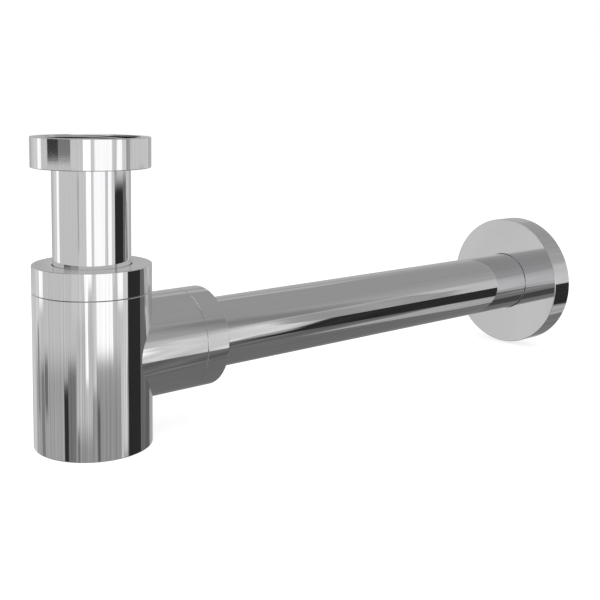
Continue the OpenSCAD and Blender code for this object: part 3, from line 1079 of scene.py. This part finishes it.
@dataclass
class Studio:
    """The studio: a pale floor, soft lamps, a world that only metal sees, and the camera."""

    floor: float = -128.5
    floor_radius: float = 9000.0
    spot: tuple[float, float, float] = (356.615, -195.817, 17.149)
    yaw: float = -49.10401
    pitch: float = -6.60561
    roll: float = 0.82813
    lens: float = 58.5958
    rise: float = -0.15
    plain_level: float = 0.62
    sway: float = 5.0
    upper_streaks: float = 0.3
    lower_streaks: float = 1.1

    def build(self) -> None:
        """Builds the floor, the lamps, the world and the camera."""
        self.build_floor()
        self.build_world()
        for name, place, size, power in (
            ("key_softbox", (500, -500, 900), 0.9, 9.0),
            ("fill_softbox", (-700, 200, 900), 1.0, 5.0),
        ):
            self.build_lamp(name, place, size, power)
        self.build_camera()
        bpy.context.scene.view_settings.view_transform = "Standard"

    def build_floor(self) -> None:
        """Builds the floor disc, which stays white to the camera away from the shadow."""
        bpy.ops.object.select_all(action="DESELECT")
        bpy.ops.mesh.primitive_circle_add(
            vertices=96, radius=self.floor_radius * MM, fill_type="NGON",
            location=(0, 0.08, (self.floor - 0.05) * MM),
        )
        disc = bpy.context.object
        disc.name = "studio_floor"
        bpy.ops.object.transform_apply(location=True, rotation=True, scale=True)
        bpy.ops.object.mode_set(mode="EDIT")
        bpy.ops.mesh.select_all(action="SELECT")
        bpy.ops.mesh.inset(thickness=self.floor_radius * 0.4 * MM)
        bpy.ops.object.mode_set(mode="OBJECT")
        disc.data.materials.append(self.floor_material())
        disc.visible_glossy = False

    def floor_material(self) -> bpy.types.Material:
        """Returns the floor's pale material."""
        made = bpy.data.materials.new("studio_floor_paper")
        made.use_nodes = True
        made.node_tree.nodes.clear()
        graph = Graph(made.node_tree)
        rays = graph.add("ShaderNodeLightPath").outputs
        paper = graph.add("ShaderNodeTexNoise", {"Scale": 40.0, "Detail": 4.0})
        tone = graph.math("MULTIPLY_ADD", paper.outputs[0], 0.02, 0.80)
        plain = graph.add("ShaderNodeBsdfDiffuse", {"Color": tone})
        seen = graph.add("ShaderNodeBsdfDiffuse", {"Color": (0.34, 0.34, 0.34, 1)})
        glow = graph.add("ShaderNodeEmission", {"Color": (1, 1, 1, 1), "Strength": 0.8})
        white = graph.add("ShaderNodeAddShader", {0: seen.outputs[0], 1: glow.outputs[0]})
        looks = graph.math(
            "MAXIMUM", rays["Is Camera Ray"],
            graph.math("MAXIMUM", rays["Is Glossy Ray"], rays["Is Transmission Ray"]),
        )
        mix = graph.add("ShaderNodeMixShader", {0: looks, 1: plain.outputs[0], 2: white.outputs[0]})
        graph.add("ShaderNodeOutputMaterial", {"Surface": mix.outputs[0]})
        return made

    def build_world(self) -> None:
        """Builds the world: white to the camera, the room to metal, plain light to the rest."""
        world = bpy.data.worlds.new("studio_world")
        bpy.context.scene.world = world
        world.use_nodes = True
        world.node_tree.nodes.clear()
        graph = Graph(world.node_tree)
        rays = graph.add("ShaderNodeLightPath").outputs
        room = self.room_light(graph)
        mirror = graph.math("MAXIMUM", rays["Is Glossy Ray"], rays["Is Transmission Ray"])
        extra = graph.math("SUBTRACT", room, self.plain_level)
        level = graph.math("MULTIPLY_ADD", extra, mirror, self.plain_level)
        white = graph.math("MULTIPLY_ADD", graph.math("SUBTRACT", 1.0, level), rays["Is Camera Ray"], level)
        back = graph.add("ShaderNodeBackground", {"Color": (1, 1, 1, 1), "Strength": white})
        graph.add("ShaderNodeOutputWorld", {"Surface": back.outputs[0]})

    def room_light(self, graph: Graph) -> bpy.types.NodeSocket:
        """Draws the room that chrome reflects and returns its light.

        Args:
            graph: the world's node tree.

        Returns:
            The light by direction: bands by elevation, then one patch after another.
        """
        ray = graph.add("ShaderNodeTexCoord").outputs["Generated"]
        parts = graph.add("ShaderNodeSeparateXYZ", {0: ray}).outputs
        plain_azimuth = graph.math("DEGREES", graph.math("ARCTAN2", parts[0], parts[1]))
        elevation = graph.math("DEGREES", graph.math("ARCSINE", parts[2]))
        ripple = graph.add("ShaderNodeTexNoise", {"Vector": ray, "Scale": 9.0, "Detail": 1.0})
        sway = graph.math("MULTIPLY_ADD", ripple.outputs[0], self.sway, self.sway * -0.5)
        azimuth = graph.math("ADD", plain_azimuth, sway)
        share = graph.math("MULTIPLY_ADD", elevation, 1 / 180, 0.5)
        ramp = graph.add("ShaderNodeValToRGB", {0: share})
        ramp.color_ramp.interpolation = "EASE"
        stops = ramp.color_ramp.elements
        while len(stops) > 1:
            stops.remove(stops[-1])
        stops[0].position = 0.0
        stops[0].color = (ROOM_BANDS[0][1],) * 3 + (1,)
        for height, light in ROOM_BANDS[1:]:
            stops.new((height + 90) / 180).color = (light, light, light, 1)
        light = graph.add("ShaderNodeSeparateColor", {0: ramp.outputs[0]}).outputs[0]
        for panel in ROOM_PANELS:
            node = graph.add("ShaderNodeGroup", node_tree=studio_panel())
            graph.tree.links.new(azimuth, node.inputs["Azimuth"])
            graph.tree.links.new(elevation, node.inputs["Elevation"])
            graph.tree.links.new(light, node.inputs["Under"])
            node.inputs["Middle"].default_value = (panel.left + panel.right) / 2
            node.inputs["Half width"].default_value = (panel.right - panel.left) / 2
            node.inputs["Low"].default_value = panel.low
            node.inputs["High"].default_value = panel.high
            node.inputs["Light"].default_value = panel.light
            node.inputs["Soft"].default_value = panel.soft
            light = node.outputs["Light"]
        streaks = graph.add(
            "ShaderNodeTexNoise", {"W": azimuth, "Scale": 0.3, "Detail": 4.0}, noise_dimensions="1D"
        )
        upper = graph.smooth(elevation, -19.0, -8.0)
        reach = graph.math("MULTIPLY_ADD", upper, self.upper_streaks - self.lower_streaks, self.lower_streaks)
        centred = graph.math("SUBTRACT", streaks.outputs[0], 0.5)
        return graph.math("MULTIPLY", light, graph.math("MULTIPLY_ADD", centred, reach, 1.0))

    def build_lamp(self, name: str, place: tuple[float, float, float], size: float, power: float) -> None:
        """Builds a soft square lamp that metal doesn't mirror."""
        bpy.ops.object.light_add(type="AREA", location=tuple(v * MM for v in place))
        lamp = bpy.context.object
        lamp.name = name
        lamp.data.size = size
        lamp.data.energy = power
        aim = Vector((0, 120, -90)) - Vector(place)
        lamp.rotation_euler = aim.to_track_quat("-Z", "Y").to_euler()
        lamp.visible_glossy = False

    def build_camera(self) -> None:
        """Builds the camera at the photograph's viewpoint."""
        yaw, pitch, roll = (math.radians(v) for v in (self.yaw, self.pitch, self.roll))
        ahead = Vector((math.sin(yaw) * math.cos(pitch), math.cos(yaw) * math.cos(pitch), math.sin(pitch)))
        level = Vector((math.cos(yaw), -math.sin(yaw), 0))
        above = level.cross(ahead)
        right = level * math.cos(roll) + above * math.sin(roll)
        up = above * math.cos(roll) - level * math.sin(roll)
        bpy.ops.object.camera_add()
        camera = bpy.context.object
        camera.name = "photo_camera"
        turn = Matrix((right, up, -ahead)).transposed().to_4x4()
        camera.matrix_world = Matrix.Translation(Vector(self.spot) * MM) @ turn
        camera.data.lens = self.lens
        camera.data.sensor_width = 36
        camera.data.shift_y = self.rise
        camera.data.clip_end = 50
        bpy.context.scene.camera = camera


def main() -> None:
    groups: list[SubAssembly] = [
        CouplingJoint(), InletPipe(), TrapBody(), CompressionJoint(),
        CompressionJoint("outlet", Way.WALL, 43.0, 22.4, CHROME_OUTLET), FootPlug(), WallRun(),
    ]
    for group in groups:
        group.build()
    Studio().build()
    log.info("%d pieces in all", sum(len(group.made) for group in groups))


if __name__ == "__main__":
    main()
